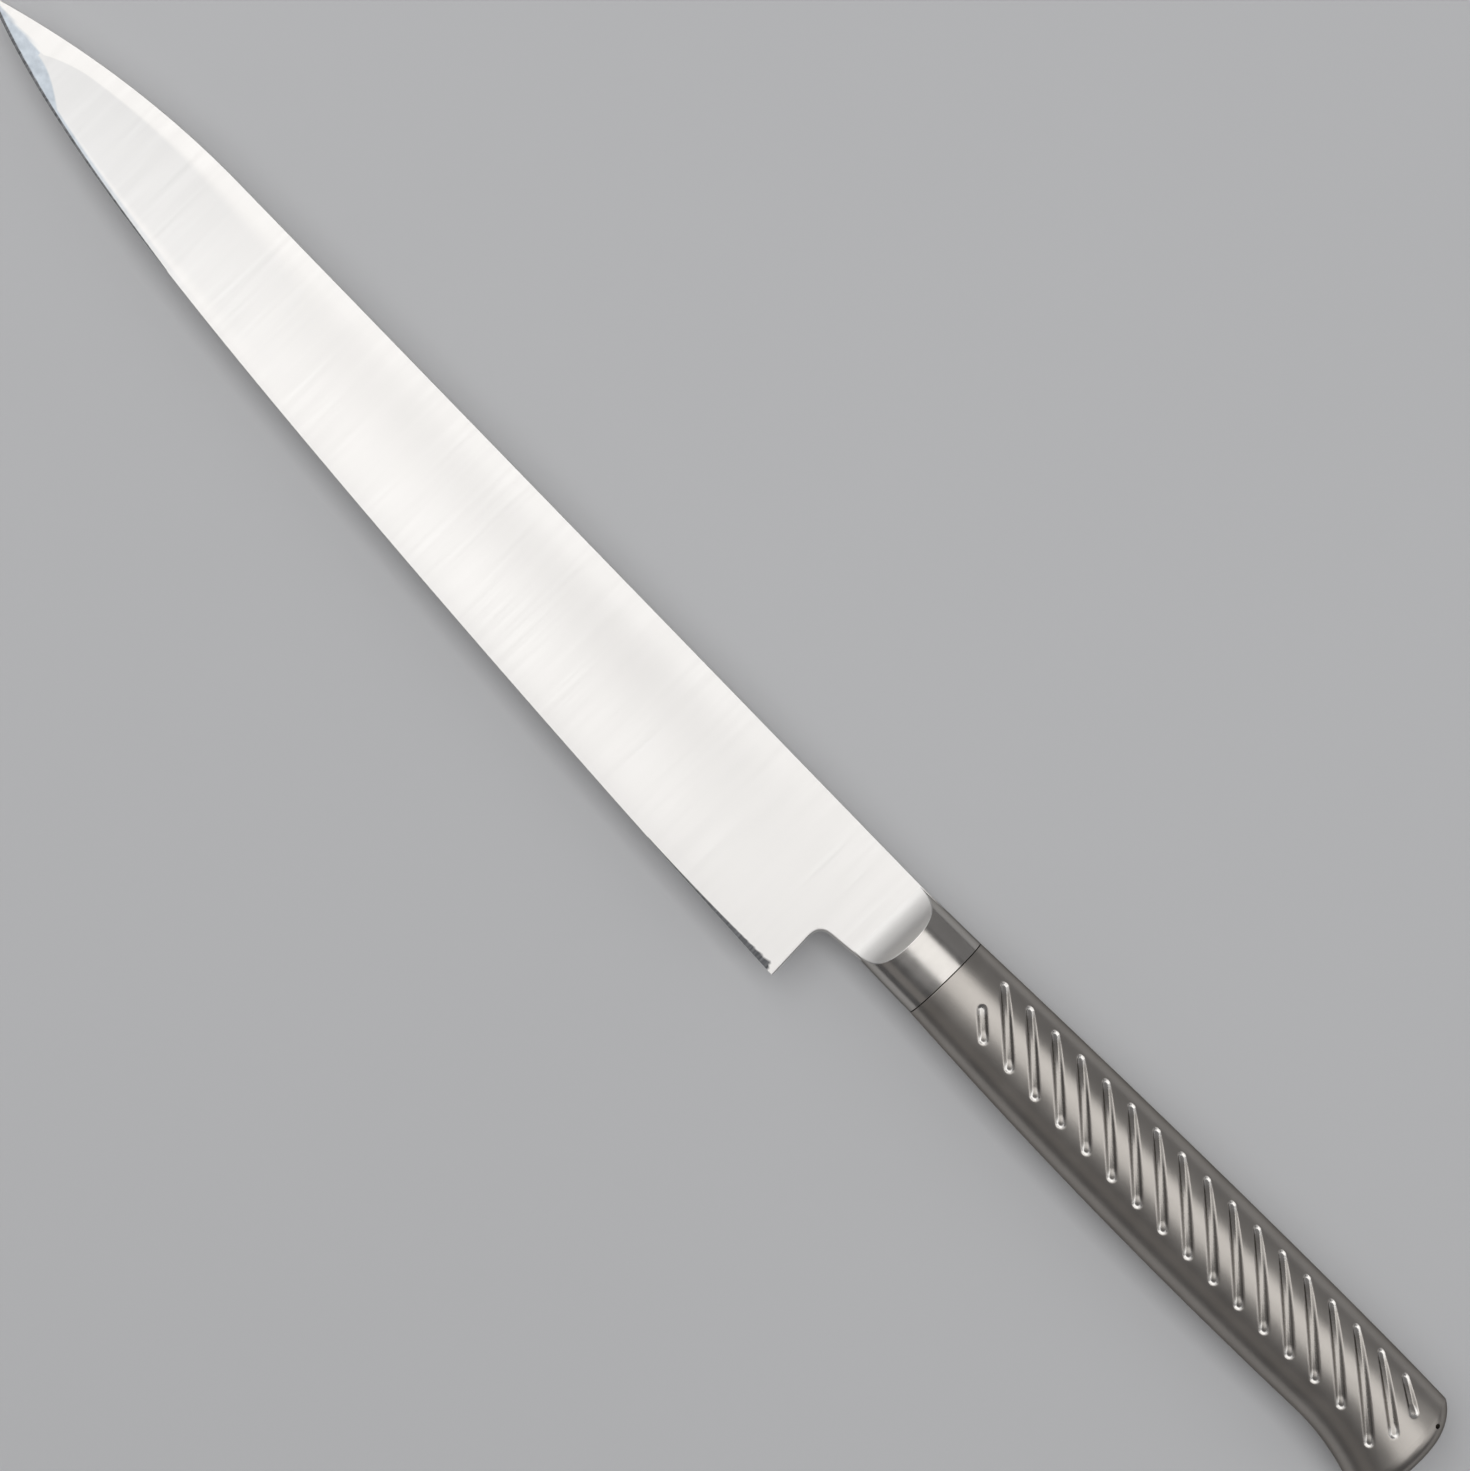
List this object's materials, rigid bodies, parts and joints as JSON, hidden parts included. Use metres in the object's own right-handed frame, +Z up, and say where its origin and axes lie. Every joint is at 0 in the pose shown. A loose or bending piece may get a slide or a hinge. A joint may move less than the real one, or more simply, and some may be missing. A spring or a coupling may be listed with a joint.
{
  "type": "yanagiba slicing knife",
  "caption": "Long single-bevel slicing knife with a hollow-ground back, an oval bolster and a hollow welded steel handle with diagonal grip grooves.",
  "frame": {"origin": "middle of the footprint, on the surface that the knife lies on", "axes": "+X to the tip, +Y to the cutting edge, +Z up, out of the blade's hollow back"},
  "size_m": [0.3924, 0.0362, 0.0172],
  "materials": {
    "blade_steel": "fine satin grind, bright",
    "bolster_steel": "polished",
    "shell_steel": "bead-blasted satin",
    "weld_steel": "weld bead ground flush and blasted"
  },
  "bodies": {
    "root": {"blade": "blade_steel", "bolster": "bolster_steel", "tang_weld": "weld_steel", "handle_shell_back": "shell_steel", "handle_shell_front": "shell_steel", "spine_seam_weld": "weld_steel", "belly_seam_weld": "weld_steel", "butt_seam_weld": "weld_steel", "butt_cap": "shell_steel"}
  },
  "joints": []
}
